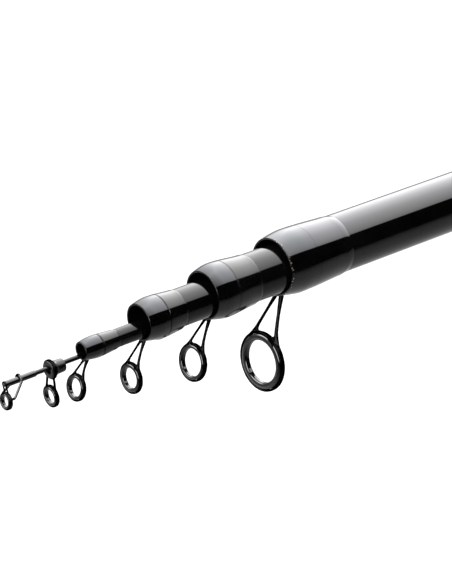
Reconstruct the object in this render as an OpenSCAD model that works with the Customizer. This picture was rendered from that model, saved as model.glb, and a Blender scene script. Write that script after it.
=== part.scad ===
// Telescopic fishing rod with ring guides, closed for transport.
// +X runs from the butt to the tip, +Z is up and the guides hang towards -Z.
// The origin is on the butt tube's axis, at the rear end of the grip's round wall.

/* [Butt tube] */
// Length of the butt tube, from its rear end to its mouth
butt_len = 745; // [650:5:850]
// Distance of the butt tube's rear end behind the origin
butt_behind = 24; // [22:1:30]
// Outer radius of the butt tube behind its whipping
butt_r = 13.1; // [13:0.05:13.6]
// Growth of the butt tube's radius for each millimetre towards the rear
butt_taper = 0.0013; // [0.001:0.0001:0.002]
// Bore radius at the butt tube's mouth
butt_bore = 12.2; // [12:0.05:12.4]
// Wall of the butt tube at its rear end
butt_wall = 1.05; // [0.8:0.05:1.3]
// Radius of the butt collar at its crest
butt_swell_r = 14.35; // [13.8:0.05:15]
// Length of the butt tube's end collar
butt_collar = 15.4; // [14:0.2:20]
// Length of the butt tube's collar and whipping together
butt_whip = 35.6; // [32:0.2:44]

/* [Second tube] */
// Stand-out of the second tube's mouth from the butt tube's mouth
second_out = 38.8; // [36:0.2:45]
// Outer radius of the second tube behind its whipping
second_r = 10.7; // [10.5:0.05:11]
// Bore radius at the second tube's mouth
second_bore = 9.9; // [9.7:0.05:10.1]
// Wall of the second tube at its rear end
second_wall = 0.85; // [0.7:0.05:1]
// Radius of the second collar at its crest
second_swell_r = 12.1; // [11.5:0.1:12.5]
// Length of the second tube's end collar
second_collar = 10.7; // [9:0.1:14]
// Length of the second tube's collar and whipping together
second_whip = 24; // [21:0.2:30]
// Length of the second tube that stays in the butt tube when drawn out
second_hold = 65; // [50:1:80]

/* [Third tube] */
// Stand-out of the third tube's mouth from the second tube's mouth
third_out = 33.8; // [31:0.2:40]
// Outer radius of the third tube behind its whipping
third_r = 8.05; // [7.9:0.05:8.3]
// Bore radius at the third tube's mouth
third_bore = 7.25; // [7.1:0.05:7.4]
// Wall of the third tube at its rear end
third_wall = 0.8; // [0.65:0.05:0.95]
// Radius of the third collar at its crest
third_swell_r = 9.1; // [8.7:0.1:9.6]
// Length of the third tube's end collar
third_collar = 9.9; // [8:0.1:13]
// Length of the third tube's collar and whipping together
third_whip = 19.2; // [17:0.2:25]
// Length of the third tube that stays in the second tube when drawn out
third_hold = 60; // [45:1:75]

/* [Fourth tube] */
// Stand-out of the fourth tube's mouth from the third tube's mouth
fourth_out = 29.3; // [27:0.1:36]
// Outer radius of the fourth tube behind its whipping
fourth_r = 3.8; // [3.7:0.05:4]
// Bore radius at the fourth tube's mouth
fourth_bore = 3.2; // [3.1:0.05:3.3]
// Wall of the fourth tube at its rear end
fourth_wall = 0.75; // [0.6:0.05:0.9]
// Radius of the fourth collar at its crest
fourth_swell_r = 4.65; // [4.4:0.05:5]
// Length of the fourth tube's end collar
fourth_collar = 8.6; // [7:0.1:11]
// Length of the fourth tube's collar and whipping together
fourth_whip = 16.6; // [14.6:0.2:21]
// Length of the fourth tube that stays in the third tube when drawn out
fourth_hold = 50; // [40:1:65]

/* [Tip rod] */
// Stand-out of the solid tip's end from the fourth tube's mouth
tip_out = 36.5; // [34:0.1:44]
// Radius of the solid tip at its thin end
tip_r = 0.92; // [0.8:0.02:1]
// Length of the solid tip that stays in the fourth tube when drawn out
tip_hold = 45; // [35:1:60]
// Outer radius of the tip-top's tube
tip_tube_r = 1.3; // [1.25:0.02:1.5]
// Length of the solid tip that the tip-top's tube covers
tip_tube_bed = 14; // [10:0.5:16]
// Length of the tip-top's tube in front of the solid tip
tip_tube_nose = 1; // [0.6:0.1:2]

/* [Tube ends] */
// Width of a mouth's rim, from the bore to the collar's front edge
rim = 0.75; // [0.65:0.05:0.85]
// Thickness of a collar at its front edge
lip = 0.18; // [0.12:0.02:0.24]
// Place of the collar's crest, as a share of the collar's length
crest_place = 0.72; // [0.55:0.01:0.85]
// Fullness of the swell behind its crest
fullness = 0.75; // [0.5:0.05:1]
// Thickness of a guide's foot
foot_t = 0.35; // [0.25:0.05:0.4]
// Width of a guide's foot
foot_w = 2.6; // [2:0.1:3.2]

/* [Ring guides] */
// Diameter of the butt guide's ceramic ring
butt_ring_d = 25; // [22:0.5:28]
// Diameter of the hole in the butt guide's ring
butt_hole_d = 19; // [17:0.2:20]
// Distance of the butt guide's ring in front of the mouth
butt_ring_ahead = 4.5; // [2:0.1:7]
// Distance of the butt guide's ring below the tube's axis
butt_ring_drop = 44; // [38:0.5:50]
// Lean of the butt guide's ring, its lower edge forward
butt_ring_lean = 5; // [0:1:15]
// Diameter of the second guide's ceramic ring
second_ring_d = 15; // [13:0.5:17]
// Diameter of the hole in the second guide's ring
second_hole_d = 11.8; // [10:0.2:12.4]
// Distance of the second guide's ring in front of the mouth
second_ring_ahead = 5.2; // [3:0.1:7]
// Distance of the second guide's ring below the tube's axis
second_ring_drop = 29.7; // [26:0.1:34]
// Lean of the second guide's ring, its lower edge forward
second_ring_lean = 11; // [0:1:15]
// Diameter of the third guide's ceramic ring
third_ring_d = 12; // [11:0.5:14]
// Diameter of the hole in the third guide's ring
third_hole_d = 8.6; // [7.6:0.2:9.4]
// Distance of the third guide's ring in front of the mouth
third_ring_ahead = 4.3; // [2:0.1:6]
// Distance of the third guide's ring below the tube's axis
third_ring_drop = 24; // [21:0.1:28]
// Lean of the third guide's ring, its lower edge forward
third_ring_lean = 6; // [0:1:15]
// Diameter of the fourth guide's ceramic ring
fourth_ring_d = 10; // [9:0.5:11]
// Diameter of the hole in the fourth guide's ring
fourth_hole_d = 7.4; // [6.4:0.2:7.6]
// Distance of the fourth guide's ring in front of the mouth
fourth_ring_ahead = 2.9; // [1:0.1:5]
// Distance of the fourth guide's ring below the tube's axis
fourth_ring_drop = 15.3; // [13.5:0.1:19]
// Lean of the fourth guide's ring, its lower edge forward
fourth_ring_lean = 13; // [0:1:15]
// Radial wall of a frame round a ceramic ring 10 across; larger rings get a little more
frame_wall = 0.92; // [0.7:0.02:1.1]
// Angle from the ring's top at which the legs run into it
flank = 31; // [27:1:45]
// Place of a leg's bend, as a share of the way from the ring to the foot
run_in = 0.45; // [0.3:0.05:0.6]
// Outward bow of a leg, as a share of the ring's diameter
leg_bow = 0.01; // [0:0.005:0.03]

/* [Floating guide] */
// Distance of the floating guide's front face behind the tip's end
float_back = 20.1; // [19:0.1:22]
// Length of the floating guide's sleeve
float_len = 7.2; // [6:0.1:8]
// Radius of the sleeve's front flange
float_flange_r = 3.75; // [3.4:0.05:4.2]
// Radius of the sleeve's barrel
float_barrel_r = 2.9; // [2.5:0.05:3.2]
// Bore radius of the sleeve
float_bore = 1.9; // [1.5:0.05:2]
// Diameter of the floating guide's ceramic ring
float_ring_d = 8; // [7:0.5:9]
// Diameter of the hole in the floating guide's ring
float_hole_d = 5.8; // [5:0.2:6.2]
// Distance of the floating guide's ring below its sleeve's axis
float_ring_drop = 12; // [10.5:0.1:14]

/* [Tip-top] */
// Diameter of the tip-top's ceramic ring
top_ring_d = 6; // [5.5:0.5:7]
// Diameter of the hole in the tip-top's ring
top_hole_d = 4.4; // [3.8:0.2:4.6]
// Distance of the tip-top's ring below the tip's axis
top_ring_drop = 7.4; // [6.8:0.1:9]
// Lean of the tip-top's ring, its lower edge forward
top_ring_lean = 6; // [0:1:12]
// Distance of the rear brace's saddle behind the tip's end
brace_back = 6.4; // [5:0.1:9]
// Radius of the tip-top's wire
wire_r = 0.42; // [0.36:0.02:0.5]

/* [Grips] */
// Outer radius of the rear grip
grip_r = 15.8; // [15.5:0.1:17]
// Length of the rear grip in front of the origin
grip_len = 262; // [220:2:320]
// Number of finger grooves round the front of the rear grip
grooves = 5; // [2:1:8]
// Spacing of the finger grooves
groove_pitch = 8; // [6:0.5:10]
// Depth of a finger groove
groove_depth = 0.8; // [0.4:0.1:1]
// Length of the fore grip
fore_len = 66; // [50:1:90]
// Radius of the fore grip at its waist
fore_waist_r = 15.3; // [15.2:0.1:15.8]
// Thickness of a winding check
check_t = 3.2; // [2:0.2:5]

/* [Reel seat] */
// Length of the reel seat's pipe
seat_len = 126; // [116:1:140]
// Outer radius of the reel seat's pipe
seat_r = 16.4; // [16:0.1:17.5]
// Depth of the flat that the reel's foot lies on
deck_cut = 0.8; // [0.4:0.1:1.2]
// Length of a hood
hood_len = 25; // [22:0.5:30]
// Depth of a hood's pocket for the reel's foot
pocket_depth = 17; // [13:0.5:19]
// Width of a hood's pocket
pocket_w = 16; // [14:0.5:18]
// Height of a hood's pocket under the pipe
pocket_h = 5.6; // [5:0.1:7]
// Wall of a hood round its pocket
hood_wall = 2; // [1.6:0.1:2.6]
// Distance of the moving hood's rear end from the pipe's rear end
hood_start = 27; // [25:0.5:30]
// Length of the lock nut
nut_len = 20; // [16:0.5:22]
// Outer radius of the lock nut
nut_r = 20.4; // [20:0.1:22]
// Number of finger flutes round the lock nut
nut_flutes = 12; // [8:1:16]
// Width of the key that stops the moving hood from turning
key_w = 4; // [3:0.2:5]
// Height of that key
key_h = 1; // [0.6:0.1:1.2]

/* [Butt end] */
// Length of the ferrule behind the butt tube
ferrule_tail = 14; // [12:0.5:18]
// Length of the screw cap's plug
plug_len = 12; // [10:0.5:13]
// Length of the screw cap's head
head_len = 7; // [6:0.5:9]
// Number of finger flutes round the cap's head
head_flutes = 18; // [12:1:24]
// Radius of the finger flutes on the cap and the lock nut
flute_r = 1.6; // [1.2:0.1:2]
// Thickness of the rubber pad behind the cap
butt_pad_t = 4.5; // [4:0.5:6]
// Depth to which that pad sits in the cap
butt_pad_bed = 2; // [1:0.2:3]
// Width of the cap's border round the rubber pad
pad_border = 2.2; // [1.8:0.1:3]
// Thickness of the soft pad that the closed sections rest on
shock_pad_t = 9; // [7:0.5:10]
// Section radius of the cap's sealing ring
seal_r = 0.8; // [0.6:0.05:1]

/* [Clearances] */
// Gap under a section that lies in the next bore
lie_gap = 0.14; // [0.1:0.01:0.2]
// Radial gap of a section that is drawn out and held
lock_gap = 0.14; // [0.1:0.01:0.2]
// Glue line between pieces that are fixed together
glue_gap = 0.04; // [0.02:0.01:0.06]
// Gap between pieces that slide or turn on each other
slide_gap = 0.3; // [0.2:0.05:0.4]

/* [Hidden] */
$fn = 96;
lacquer = [0.06, 0.06, 0.065];
thread = [0.10, 0.09, 0.085];
black_metal = [0.16, 0.16, 0.17];
ceramic = [0.24, 0.24, 0.25];
steel = [0.62, 0.62, 0.63];
rubber = [0.09, 0.09, 0.09];
moulding = [0.12, 0.12, 0.125];

tube_r = [butt_r, second_r, third_r, fourth_r];
mouth_bore = [butt_bore, second_bore, third_bore, fourth_bore];
rear_wall = [butt_wall, second_wall, third_wall, fourth_wall];
swell_r = [butt_swell_r, second_swell_r, third_swell_r, fourth_swell_r];
collar_len = [butt_collar, second_collar, third_collar, fourth_collar];
whip_len = [butt_whip, second_whip, third_whip, fourth_whip, 0];
stand_out = [second_out, third_out, fourth_out, tip_out];
TIP = len(stand_out);
hold = [second_hold, third_hold, fourth_hold, tip_hold];
ring_d = [butt_ring_d, second_ring_d, third_ring_d, fourth_ring_d];
hole_d = [butt_hole_d, second_hole_d, third_hole_d, fourth_hole_d];
ring_ahead = [butt_ring_ahead, second_ring_ahead, third_ring_ahead, fourth_ring_ahead];
ring_drop = [butt_ring_drop, second_ring_drop, third_ring_drop, fourth_ring_drop];
ring_lean = [butt_ring_lean, second_ring_lean, third_ring_lean, fourth_ring_lean];

// Butt end, from the tube's rear end backwards
butt_rear_x = -butt_behind;
ferrule_x = butt_rear_x - ferrule_tail;
head_x = ferrule_x - slide_gap - head_len;
pad_x = ferrule_x + plug_len;
inner_rear_x = pad_x + shock_pad_t + slide_gap;

// Grips and reel seat, from the rear grip forwards
grip_chamfer = 1.5;
grip_rear_x = -grip_chamfer - 0.5;
rear_check_x = grip_len + glue_gap;
seat_x = rear_check_x + check_t + glue_gap;
seat_end_x = seat_x + seat_len;
fore_x = seat_end_x + glue_gap;
fore_check_x = fore_x + fore_len + glue_gap;

// Radius and taper of each section; distance s runs back from its mouth
function mouth_x(k) = k == 0 ? butt_len - butt_behind : mouth_x(k - 1) + stand_out[k - 1];
function length(k) = k == 0 ? butt_len : mouth_x(k) - inner_rear_x;
function front_r(k) = k == TIP ? tip_r : tube_r[k];
function taper(k) =
    k == 0 ? butt_taper
    : (mouth_bore[k - 1] - lock_gap - front_r(k)) / (length(k) - whip_len[k] - hold[k - 1]);
function outer(k, s) = front_r(k) + taper(k) * max(0, s - whip_len[k]);
function rear_bore(k) = outer(k, length(k)) - rear_wall[k];
function lock_bore(k) = mouth_bore[k] + taper(k + 1) * hold[k];
function bore(k, s) =
    s <= hold[k] ? mouth_bore[k] + taper(k + 1) * s
    : lock_bore(k) + (rear_bore(k) - lock_bore(k)) * (s - hold[k]) / (length(k) - hold[k]);

// How far a section lies below the axis of the one that carries it, at s behind the carrier's mouth
function nest(k) = mouth_x(k - 1) - inner_rear_x;
function slack(k, s) = bore(k - 1, s) - outer(k, s + stand_out[k - 1]) - lie_gap;
function slack_slope(k, s) = (slack(k, s) - slack(k, 0)) / s;
function lie_slope(k) = min(slack_slope(k, hold[k - 1]), slack_slope(k, nest(k)));
function droop(k) = slack(k, 0) - lie_slope(k) * stand_out[k - 1];

// Swelled end of a tube, with a low ledge where the whipping ends
ledge_base = 0.15;
ledge_gain = 0.013;
function nose_r(k) = mouth_bore[k] + rim;
function seat_of(k) = nose_r(k) - lip;
function crest(k) = crest_place * collar_len[k];
function ledge_r(k) = tube_r[k] + ledge_base + ledge_gain * tube_r[k];
function swell(k, s) =
    s < crest(k) ? nose_r(k) + (swell_r[k] - nose_r(k)) * sin(90 * s / crest(k))
    : ledge_r(k) + (swell_r[k] - ledge_r(k))
      * pow((1 + cos(180 * (s - crest(k)) / (whip_len[k] - crest(k)))) / 2, fullness);

// Guide frames
leg_d_base = 0.75;
leg_d_gain = 0.04;
root_base = 2.4;
root_gain = 0.17;
root_spread = 1.3;
leg_steps = 9;
wire_sides = 8;
land = 0.8;
function leg_r(k) = (leg_d_base + leg_d_gain * ring_d[k]) / 2;
function root_back(k) = root_base + root_gain * tube_r[k];
function root_half(k) = root_spread * leg_r(k);
function insert_w(d) = 1.55 + 0.065 * d;
function wall_of(d) = frame_wall + 0.03 * (d - 10);
function frame_w(d) = 0.8 * insert_w(d);
function unit(v) = v / norm(v);
function bend(a, b, c) =
    [for (i = [0:leg_steps]) let (t = i / leg_steps) (1 - t) * (1 - t) * a + 2 * t * (1 - t) * b + t * t * c];

// Point on a circle in a ring's plane, at an angle from its top
function rim_point(r, lean, side, angle) =
    r * (side * sin(angle) * [0, 1, 0] + cos(angle) * [-sin(lean), 0, cos(lean)]);

// Solid of revolution about X, from a half outline of [radius, x] points
module revolve_x() {
    rotate([0, 90, 0])
        rotate_extrude()
            children();
}

// Part of such a revolve, a band of the given angle round the underside
module band_x(angle) {
    rotate([0, 90, 0])
        rotate([0, 0, -angle / 2])
            rotate_extrude(angle = angle)
                children();
}

// Round bar swept along a path of points; reference is a direction that the path never takes
module bar(path, r, reference) {
    last = len(path) - 1;
    points = [
        for (i = [0:last])
            let (ahead = unit(path[min(i + 1, last)] - path[max(i - 1, 0)]))
            let (side = unit(cross(ahead, reference)), up = cross(side, ahead))
            for (j = [0:wire_sides - 1])
                let (a = 360 * j / wire_sides)
                path[i] + r * (cos(a) * side + sin(a) * up)
    ];
    walls = [
        for (i = [0:last - 1], j = [0:wire_sides - 1])
            let (a = i * wire_sides + j, b = i * wire_sides + (j + 1) % wire_sides)
            each [[a, b, b + wire_sides], [a, b + wire_sides, a + wire_sides]]
    ];
    ends = [
        [for (j = [wire_sides - 1:-1:0]) j],
        [for (j = [0:wire_sides - 1]) last * wire_sides + j]
    ];
    polyhedron(points, concat(walls, ends));
}

// Places its children in a section's own frame: origin at its mouth, X along its axis
module at_section(k) {
    if (k == 0)
        translate([mouth_x(0), 0, 0])
            children();
    else
        at_section(k - 1)
            translate([stand_out[k - 1], 0, -droop(k)])
                rotate([0, -atan(lie_slope(k)), 0])
                    children();
}

// Tapered tube, turned down at its mouth for the collar and the whipping
module tube(k) {
    rear = -length(k);
    color(lacquer)
        at_section(k)
            revolve_x()
                polygon([
                    [mouth_bore[k], 0],
                    [seat_of(k), 0],
                    [seat_of(k), -whip_len[k]],
                    [tube_r[k], -whip_len[k]],
                    [outer(k, length(k)), rear],
                    [rear_bore(k), rear],
                    [lock_bore(k), -hold[k]]
                ]);
}

// Half outline of the swelled end between two distances from the mouth
module swell_outline(k, s0, s1) {
    steps = 14;
    bed = seat_of(k) + glue_gap;
    skin = [for (i = [0:steps]) let (s = s0 + (s1 - s0) * i / steps) [swell(k, s), -s]];
    polygon(concat([[bed, -s0]], skin, [[bed, -s1]]));
}

// Foot of a guide: a tongue under the collar and whipping, and the block that the legs rise from
module foot(k, gap) {
    reach = (collar_len[k] + whip_len[k]) / 2;
    block = leg_r(k) + 0.5;
    half = root_half(k) + leg_r(k) + 0.2 + gap;
    front = root_back(k) - block - gap;
    back = root_back(k) + block + gap;
    bed = seat_of(k) + glue_gap;
    top = bed + foot_t + gap;
    band_x(2 * asin((foot_w / 2 + gap) / seat_of(k)))
        polygon([
            [bed - 3 * gap, -root_back(k)],
            [top, -root_back(k)],
            [top, -reach - gap],
            [bed - 3 * gap, -reach - gap]
        ]);
    band_x(2 * asin(half / seat_of(k)))
        polygon([
            [bed + 0.05 - 6 * gap, -front],
            [swell(k, front) + gap * 2, -front],
            [swell(k, back) + gap * 2, -back],
            [bed + 0.05 - 6 * gap, -back]
        ]);
}

module end_collar(k) {
    color(lacquer)
        at_section(k)
            difference() {
                revolve_x()
                    swell_outline(k, 0, collar_len[k]);
                foot(k, glue_gap);
            }
}

module whipping(k) {
    color(thread)
        at_section(k)
            difference() {
                revolve_x()
                    swell_outline(k, collar_len[k] + glue_gap, whip_len[k] - glue_gap);
                foot(k, glue_gap);
            }
}

// Ring of a guide's frame, with rounded outer edges, round a ceramic of diameter d
module frame_ring(d) {
    inner = d / 2 + glue_gap;
    outer = d / 2 + wall_of(d);
    w = frame_w(d);
    edge = 0.7 * wall_of(d);
    revolve_x()
        intersection() {
            union() {
                translate([inner, -w / 2])
                    square([outer - edge - inner, w]);
                translate([inner, -w / 2 + edge])
                    square([outer - inner, w - 2 * edge]);
                for (side = [-1, 1])
                    translate([outer - edge, side * (w / 2 - edge)])
                        circle(edge);
            }
            translate([inner, -w])
                square([outer, 2 * w]);
        }
}

// Space that a ceramic ring fills, for trimming the legs
module insert_space(d) {
    rotate([0, 90, 0])
        cylinder(r = d / 2 + glue_gap, h = 2 * insert_w(d), center = true);
}

// Ceramic ring with a rounded throat and a short straight land
module insert(d, hole) {
    w = insert_w(d);
    edge = (w - land) / 2;
    color(ceramic)
        revolve_x()
            intersection() {
                union() {
                    translate([hole / 2, -land / 2])
                        square([d, land]);
                    translate([hole / 2 + edge, -w / 2])
                        square([d, w]);
                    for (side = [-1, 1])
                        translate([hole / 2 + edge, side * land / 2])
                            circle(edge);
                }
                translate([0, -w])
                    square([d / 2, 2 * w]);
            }
}

module at_ring(k) {
    at_section(k)
        translate([ring_ahead[k], 0, -ring_drop[k]])
            rotate([0, -ring_lean[k], 0])
                children();
}

// One leg: from the foot's block it runs forward and down to the side of the ring's top
module leg(k, side) {
    centre = [ring_ahead[k], 0, -ring_drop[k]];
    root = [-root_back(k), side * root_half(k), -seat_of(k) - glue_gap - leg_r(k) / 2];
    landing_r = ring_d[k] / 2 + 2 * glue_gap + leg_r(k);
    landing = centre + rim_point(landing_r, ring_lean[k], side, flank);
    knee = landing + run_in * (root - landing) + [0, side * leg_bow * ring_d[k], 0];
    bar(bend(root, knee, landing), leg_r(k), [0, 1, 0]);
}

// Short cross bar that closes the arch between the two legs, just under the collar
module arch(k) {
    translate([0.3 - root_back(k), 0, -swell(k, root_back(k)) - 0.15])
        rotate([90, 0, 0])
            cylinder(r = leg_r(k), h = 2 * root_half(k), center = true);
}

module guide_frame(k) {
    color(black_metal) {
        at_section(k) {
            foot(k, 0);
            arch(k);
            for (side = [-1, 1])
                leg(k, side);
        }
        at_ring(k)
            frame_ring(ring_d[k]);
    }
}

module guide_ring(k) {
    at_ring(k)
        insert(ring_d[k], hole_d[k]);
}

// Solid tapered tip
module tip_blank() {
    color(lacquer)
        at_section(TIP)
            revolve_x()
                polygon([
                    [0, 0],
                    [tip_r, 0],
                    [outer(TIP, length(TIP)), -length(TIP)],
                    [0, -length(TIP)]
                ]);
}

// Tube of the tip-top, glued over the tip's end
module tip_top_tube() {
    bed = outer(TIP, tip_tube_bed) + glue_gap;
    color(black_metal)
        at_section(TIP)
            revolve_x()
                polygon([
                    [bed, -tip_tube_bed],
                    [tip_tube_r, -tip_tube_bed],
                    [tip_tube_r, tip_tube_nose - 0.3],
                    [tip_tube_r - 0.3, tip_tube_nose],
                    [0, tip_tube_nose],
                    [0, glue_gap],
                    [bed, glue_gap]
                ]);
}

// Wire that leaves the ring on one side, passes over the tip's tube and comes down the other side
module saddle(x, angle) {
    arch_r = tip_tube_r + wire_r + glue_gap;
    centre = [0, 0, -top_ring_drop];
    mid_r = (top_ring_d + wall_of(top_ring_d)) / 2;
    right = centre + rim_point(mid_r, top_ring_lean, 1, angle);
    left = centre + rim_point(mid_r, top_ring_lean, -1, angle);
    arch = [for (a = [0:22.5:180]) [x, arch_r * cos(a), arch_r * sin(a)]];
    bar(concat([right], arch, [left]), wire_r, [1, 0, 0]);
}

// Tip-top's frame: ring, front loop and rear brace
module tip_top_frame() {
    front_x = tip_tube_nose - 0.3 - wire_r;
    front_angle = 32;
    brace_angle = 80;
    color(black_metal)
        at_section(TIP) {
            difference() {
                union() {
                    saddle(front_x, front_angle);
                    saddle(-brace_back, brace_angle);
                }
                translate([0, 0, -top_ring_drop])
                    rotate([0, -top_ring_lean, 0])
                        insert_space(top_ring_d);
            }
            translate([0, 0, -top_ring_drop])
                rotate([0, -top_ring_lean, 0])
                    frame_ring(top_ring_d);
        }
}

module tip_top_ring() {
    at_section(TIP)
        translate([0, 0, -top_ring_drop])
            rotate([0, -top_ring_lean, 0])
                insert(top_ring_d, top_hole_d);
}

// The floating guide hangs on the tip, in front of the fourth tube
module at_float() {
    hang = float_bore - outer(TIP, float_back + float_len) - lie_gap;
    at_section(TIP)
        translate([-float_back, 0, -hang])
            children();
}

module float_guide_sleeve() {
    flange_t = 2;
    groove = 0.35;
    color(moulding)
        at_float()
            revolve_x()
                polygon([
                    [float_bore, 0],
                    [float_flange_r - 0.5, 0],
                    [float_flange_r, -0.5],
                    [float_flange_r, -flange_t],
                    [float_flange_r - groove, -flange_t],
                    [float_flange_r - groove, -flange_t - groove],
                    [float_flange_r - 0.1, -flange_t - groove],
                    [float_barrel_r, -flange_t - 1.4],
                    [float_barrel_r - 0.15, 0.6 - float_len],
                    [float_barrel_r - 0.7, -float_len],
                    [float_bore, -float_len]
                ]);
}

// Frame of the floating guide: a band round the flange, two short legs and the ring
module float_guide_frame() {
    band_t = 0.5;
    band_x0 = -1.8;
    band_x1 = -0.6;
    leg_x = (band_x0 + band_x1) / 2;
    inner = float_flange_r + glue_gap;
    leg_half = 2.1;
    leg_top = -sqrt(pow(inner + band_t / 2, 2) - leg_half * leg_half);
    lean = 0;
    float_leg_r = 0.5;
    centre = [leg_x, 0, -float_ring_drop];
    color(black_metal)
        at_float() {
            revolve_x()
                polygon([
                    [inner, band_x0],
                    [inner + band_t, band_x0],
                    [inner + band_t, band_x1],
                    [inner, band_x1]
                ]);
            difference() {
                for (side = [-1, 1])
                    bar(
                        [
                            [leg_x, side * leg_half, leg_top - float_leg_r + band_t / 2],
                            centre + rim_point((float_ring_d + wall_of(float_ring_d)) / 2, lean, side, 42)
                        ],
                        float_leg_r,
                        [0, 1, 0]
                    );
                translate(centre)
                    insert_space(float_ring_d);
            }
            translate(centre)
                frame_ring(float_ring_d);
        }
}

module float_guide_ring() {
    leg_x = -1.2;
    at_float()
        translate([leg_x, 0, -float_ring_drop])
            insert(float_ring_d, float_hole_d);
}

// Radius of the butt tube at a place along the rod
function blank_at(x) = outer(0, mouth_x(0) - x) + glue_gap;

// Rear grip: a round sleeve with finger grooves at its front
module rear_grip() {
    color(rubber)
        difference() {
            revolve_x()
                polygon([
                    [blank_at(grip_rear_x), grip_rear_x],
                    [grip_r - grip_chamfer, grip_rear_x],
                    [grip_r, grip_rear_x + grip_chamfer],
                    [grip_r, grip_len - grip_chamfer],
                    [grip_r - grip_chamfer, grip_len],
                    [blank_at(grip_len), grip_len]
                ]);
            for (i = [1:grooves])
                translate([grip_len - i * groove_pitch, 0, 0])
                    revolve_x()
                        translate([grip_r + groove_depth, 0])
                            circle(2 * groove_depth);
        }
}

// Bead-shaped ring that closes a grip's end
module winding_check(x, r) {
    bead = check_t / 2;
    color(steel)
        revolve_x()
            difference() {
                union() {
                    translate([blank_at(x) - bead, x])
                        square([r - blank_at(x), check_t]);
                    translate([r - bead, x + bead])
                        circle(bead);
                }
                translate([0, x - 1])
                    square([blank_at(x), check_t + 2]);
            }
}

module rear_winding_check() {
    winding_check(rear_check_x, grip_r + 0.4);
}

module fore_winding_check() {
    winding_check(fore_check_x, blank_at(fore_check_x) + check_t);
}

// Fore grip: waisted sleeve that tapers to the winding check
module fore_grip() {
    steps = 12;
    front_r = blank_at(fore_x + fore_len) + check_t - 0.6;
    rear_r = seat_r - 0.2;
    skin = [
        for (i = [0:steps])
            let (u = i / steps)
            [rear_r + (front_r - rear_r) * u + (fore_waist_r - (rear_r + front_r) / 2) * sin(180 * u),
             fore_x + fore_len * u]
    ];
    color(rubber)
        revolve_x()
            polygon(concat(
                [[blank_at(fore_x), fore_x]],
                skin,
                [[blank_at(fore_x + fore_len), fore_x + fore_len]]
            ));
}

// Reel seat: threaded pipe with a flat deck below and a keyway on top
module reel_seat_pipe() {
    end_chamfer = 1;
    deck_x = seat_x + hood_start;
    color(moulding)
        difference() {
            revolve_x()
                polygon([
                    [blank_at(seat_x), seat_x],
                    [seat_r - end_chamfer, seat_x],
                    [seat_r, seat_x + end_chamfer],
                    [seat_r, seat_end_x - end_chamfer],
                    [seat_r - end_chamfer, seat_end_x],
                    [blank_at(seat_end_x), seat_end_x]
                ]);
            translate([deck_x, -seat_r, -2 * seat_r + deck_cut])
                cube([seat_end_x - hood_len - deck_x, 2 * seat_r, seat_r]);
            translate([seat_x - 1, -key_w / 2 - slide_gap, seat_r - key_h - slide_gap])
                cube([seat_len - hood_len, key_w + 2 * slide_gap, seat_r]);
        }
}

// Body of a hood: a barrel round the pipe and two rounded lower corners, with their common tangents
module hood_body(r) {
    corner_r = pocket_h / 2 + hood_wall;
    corner = [(pocket_w - pocket_h) / 2, -seat_r - pocket_h / 2];
    a = acos((r - corner_r) / norm(corner)) + atan2(corner[1], corner[0]);
    high = r * [cos(a), sin(a)];
    low = corner + corner_r * [cos(a), sin(a)];
    rotate([0, 90, 0])
        cylinder(r = r, h = hood_len);
    for (side = [-1, 1])
        translate([0, side * corner[0], corner[1]])
            rotate([0, 90, 0])
                cylinder(r = corner_r, h = hood_len);
    along_x(hood_len)
        polygon([
            high,
            low,
            [corner[0], corner[1] - corner_r],
            [-corner[0], corner[1] - corner_r],
            [-low[0], low[1]],
            [-high[0], high[1]]
        ]);
}

// Pocket under the pipe that a reel's foot slides into
module pocket_outline() {
    low = seat_r + pocket_h;
    r = pocket_h / 2;
    translate([-pocket_w / 2 + r, -low])
        square([pocket_w - 2 * r, pocket_h]);
    for (side = [-1, 1])
        translate([side * (pocket_w / 2 - r), -low + r])
            circle(r);
    translate([-pocket_w / 2, -low + r])
        square([pocket_w, r + seat_r / 4]);
}

// Extrudes an outline drawn in Y and Z along X
module along_x(h) {
    rotate([90, 0, 90])
        linear_extrude(h)
            children();
}

// Hood with its pocket open towards +X; gap is its play on the pipe
module hood(gap) {
    full_r = seat_r + pocket_h + hood_wall;
    nose_cut = 4;
    difference() {
        intersection() {
            hood_body(seat_r + gap + hood_wall);
            revolve_x()
                polygon([
                    [0, 0],
                    [full_r - nose_cut, 0],
                    [full_r + 0.5, 2 * nose_cut],
                    [full_r + 0.5, hood_len],
                    [0, hood_len]
                ]);
        }
        translate([-1, 0, 0])
            rotate([0, 90, 0])
                cylinder(r = seat_r + gap, h = hood_len + 2);
        translate([hood_len - pocket_depth, 0, 0])
            along_x(pocket_depth + 1)
                pocket_outline();
    }
}

module fixed_hood() {
    color(moulding)
        translate([seat_end_x - 1, 0, 0])
            mirror([1, 0, 0])
                hood(glue_gap);
}

module moving_hood() {
    color(moulding)
        translate([seat_x + hood_start, 0, 0]) {
            hood(slide_gap);
            translate([0, -key_w / 2, seat_r - key_h])
                cube([hood_len, key_w, key_h + slide_gap + hood_wall / 2]);
        }
}

// Flutes round a turned piece, for the fingers
module flutes(count, r, x, h) {
    for (i = [0:count - 1])
        rotate([360 * i / count, 0, 0])
            translate([x, 0, r + flute_r / 2])
                rotate([0, 90, 0])
                    cylinder(r = flute_r, h = h);
}

module lock_nut() {
    x = seat_x + hood_start - slide_gap - nut_len;
    edge = 1.2;
    color(moulding)
        difference() {
            revolve_x()
                polygon([
                    [seat_r + slide_gap, x],
                    [nut_r - edge, x],
                    [nut_r, x + edge],
                    [nut_r, x + nut_len - edge],
                    [nut_r - edge, x + nut_len],
                    [seat_r + slide_gap, x + nut_len]
                ]);
            flutes(nut_flutes, nut_r, x - 1, nut_len - 2);
        }
}

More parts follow.
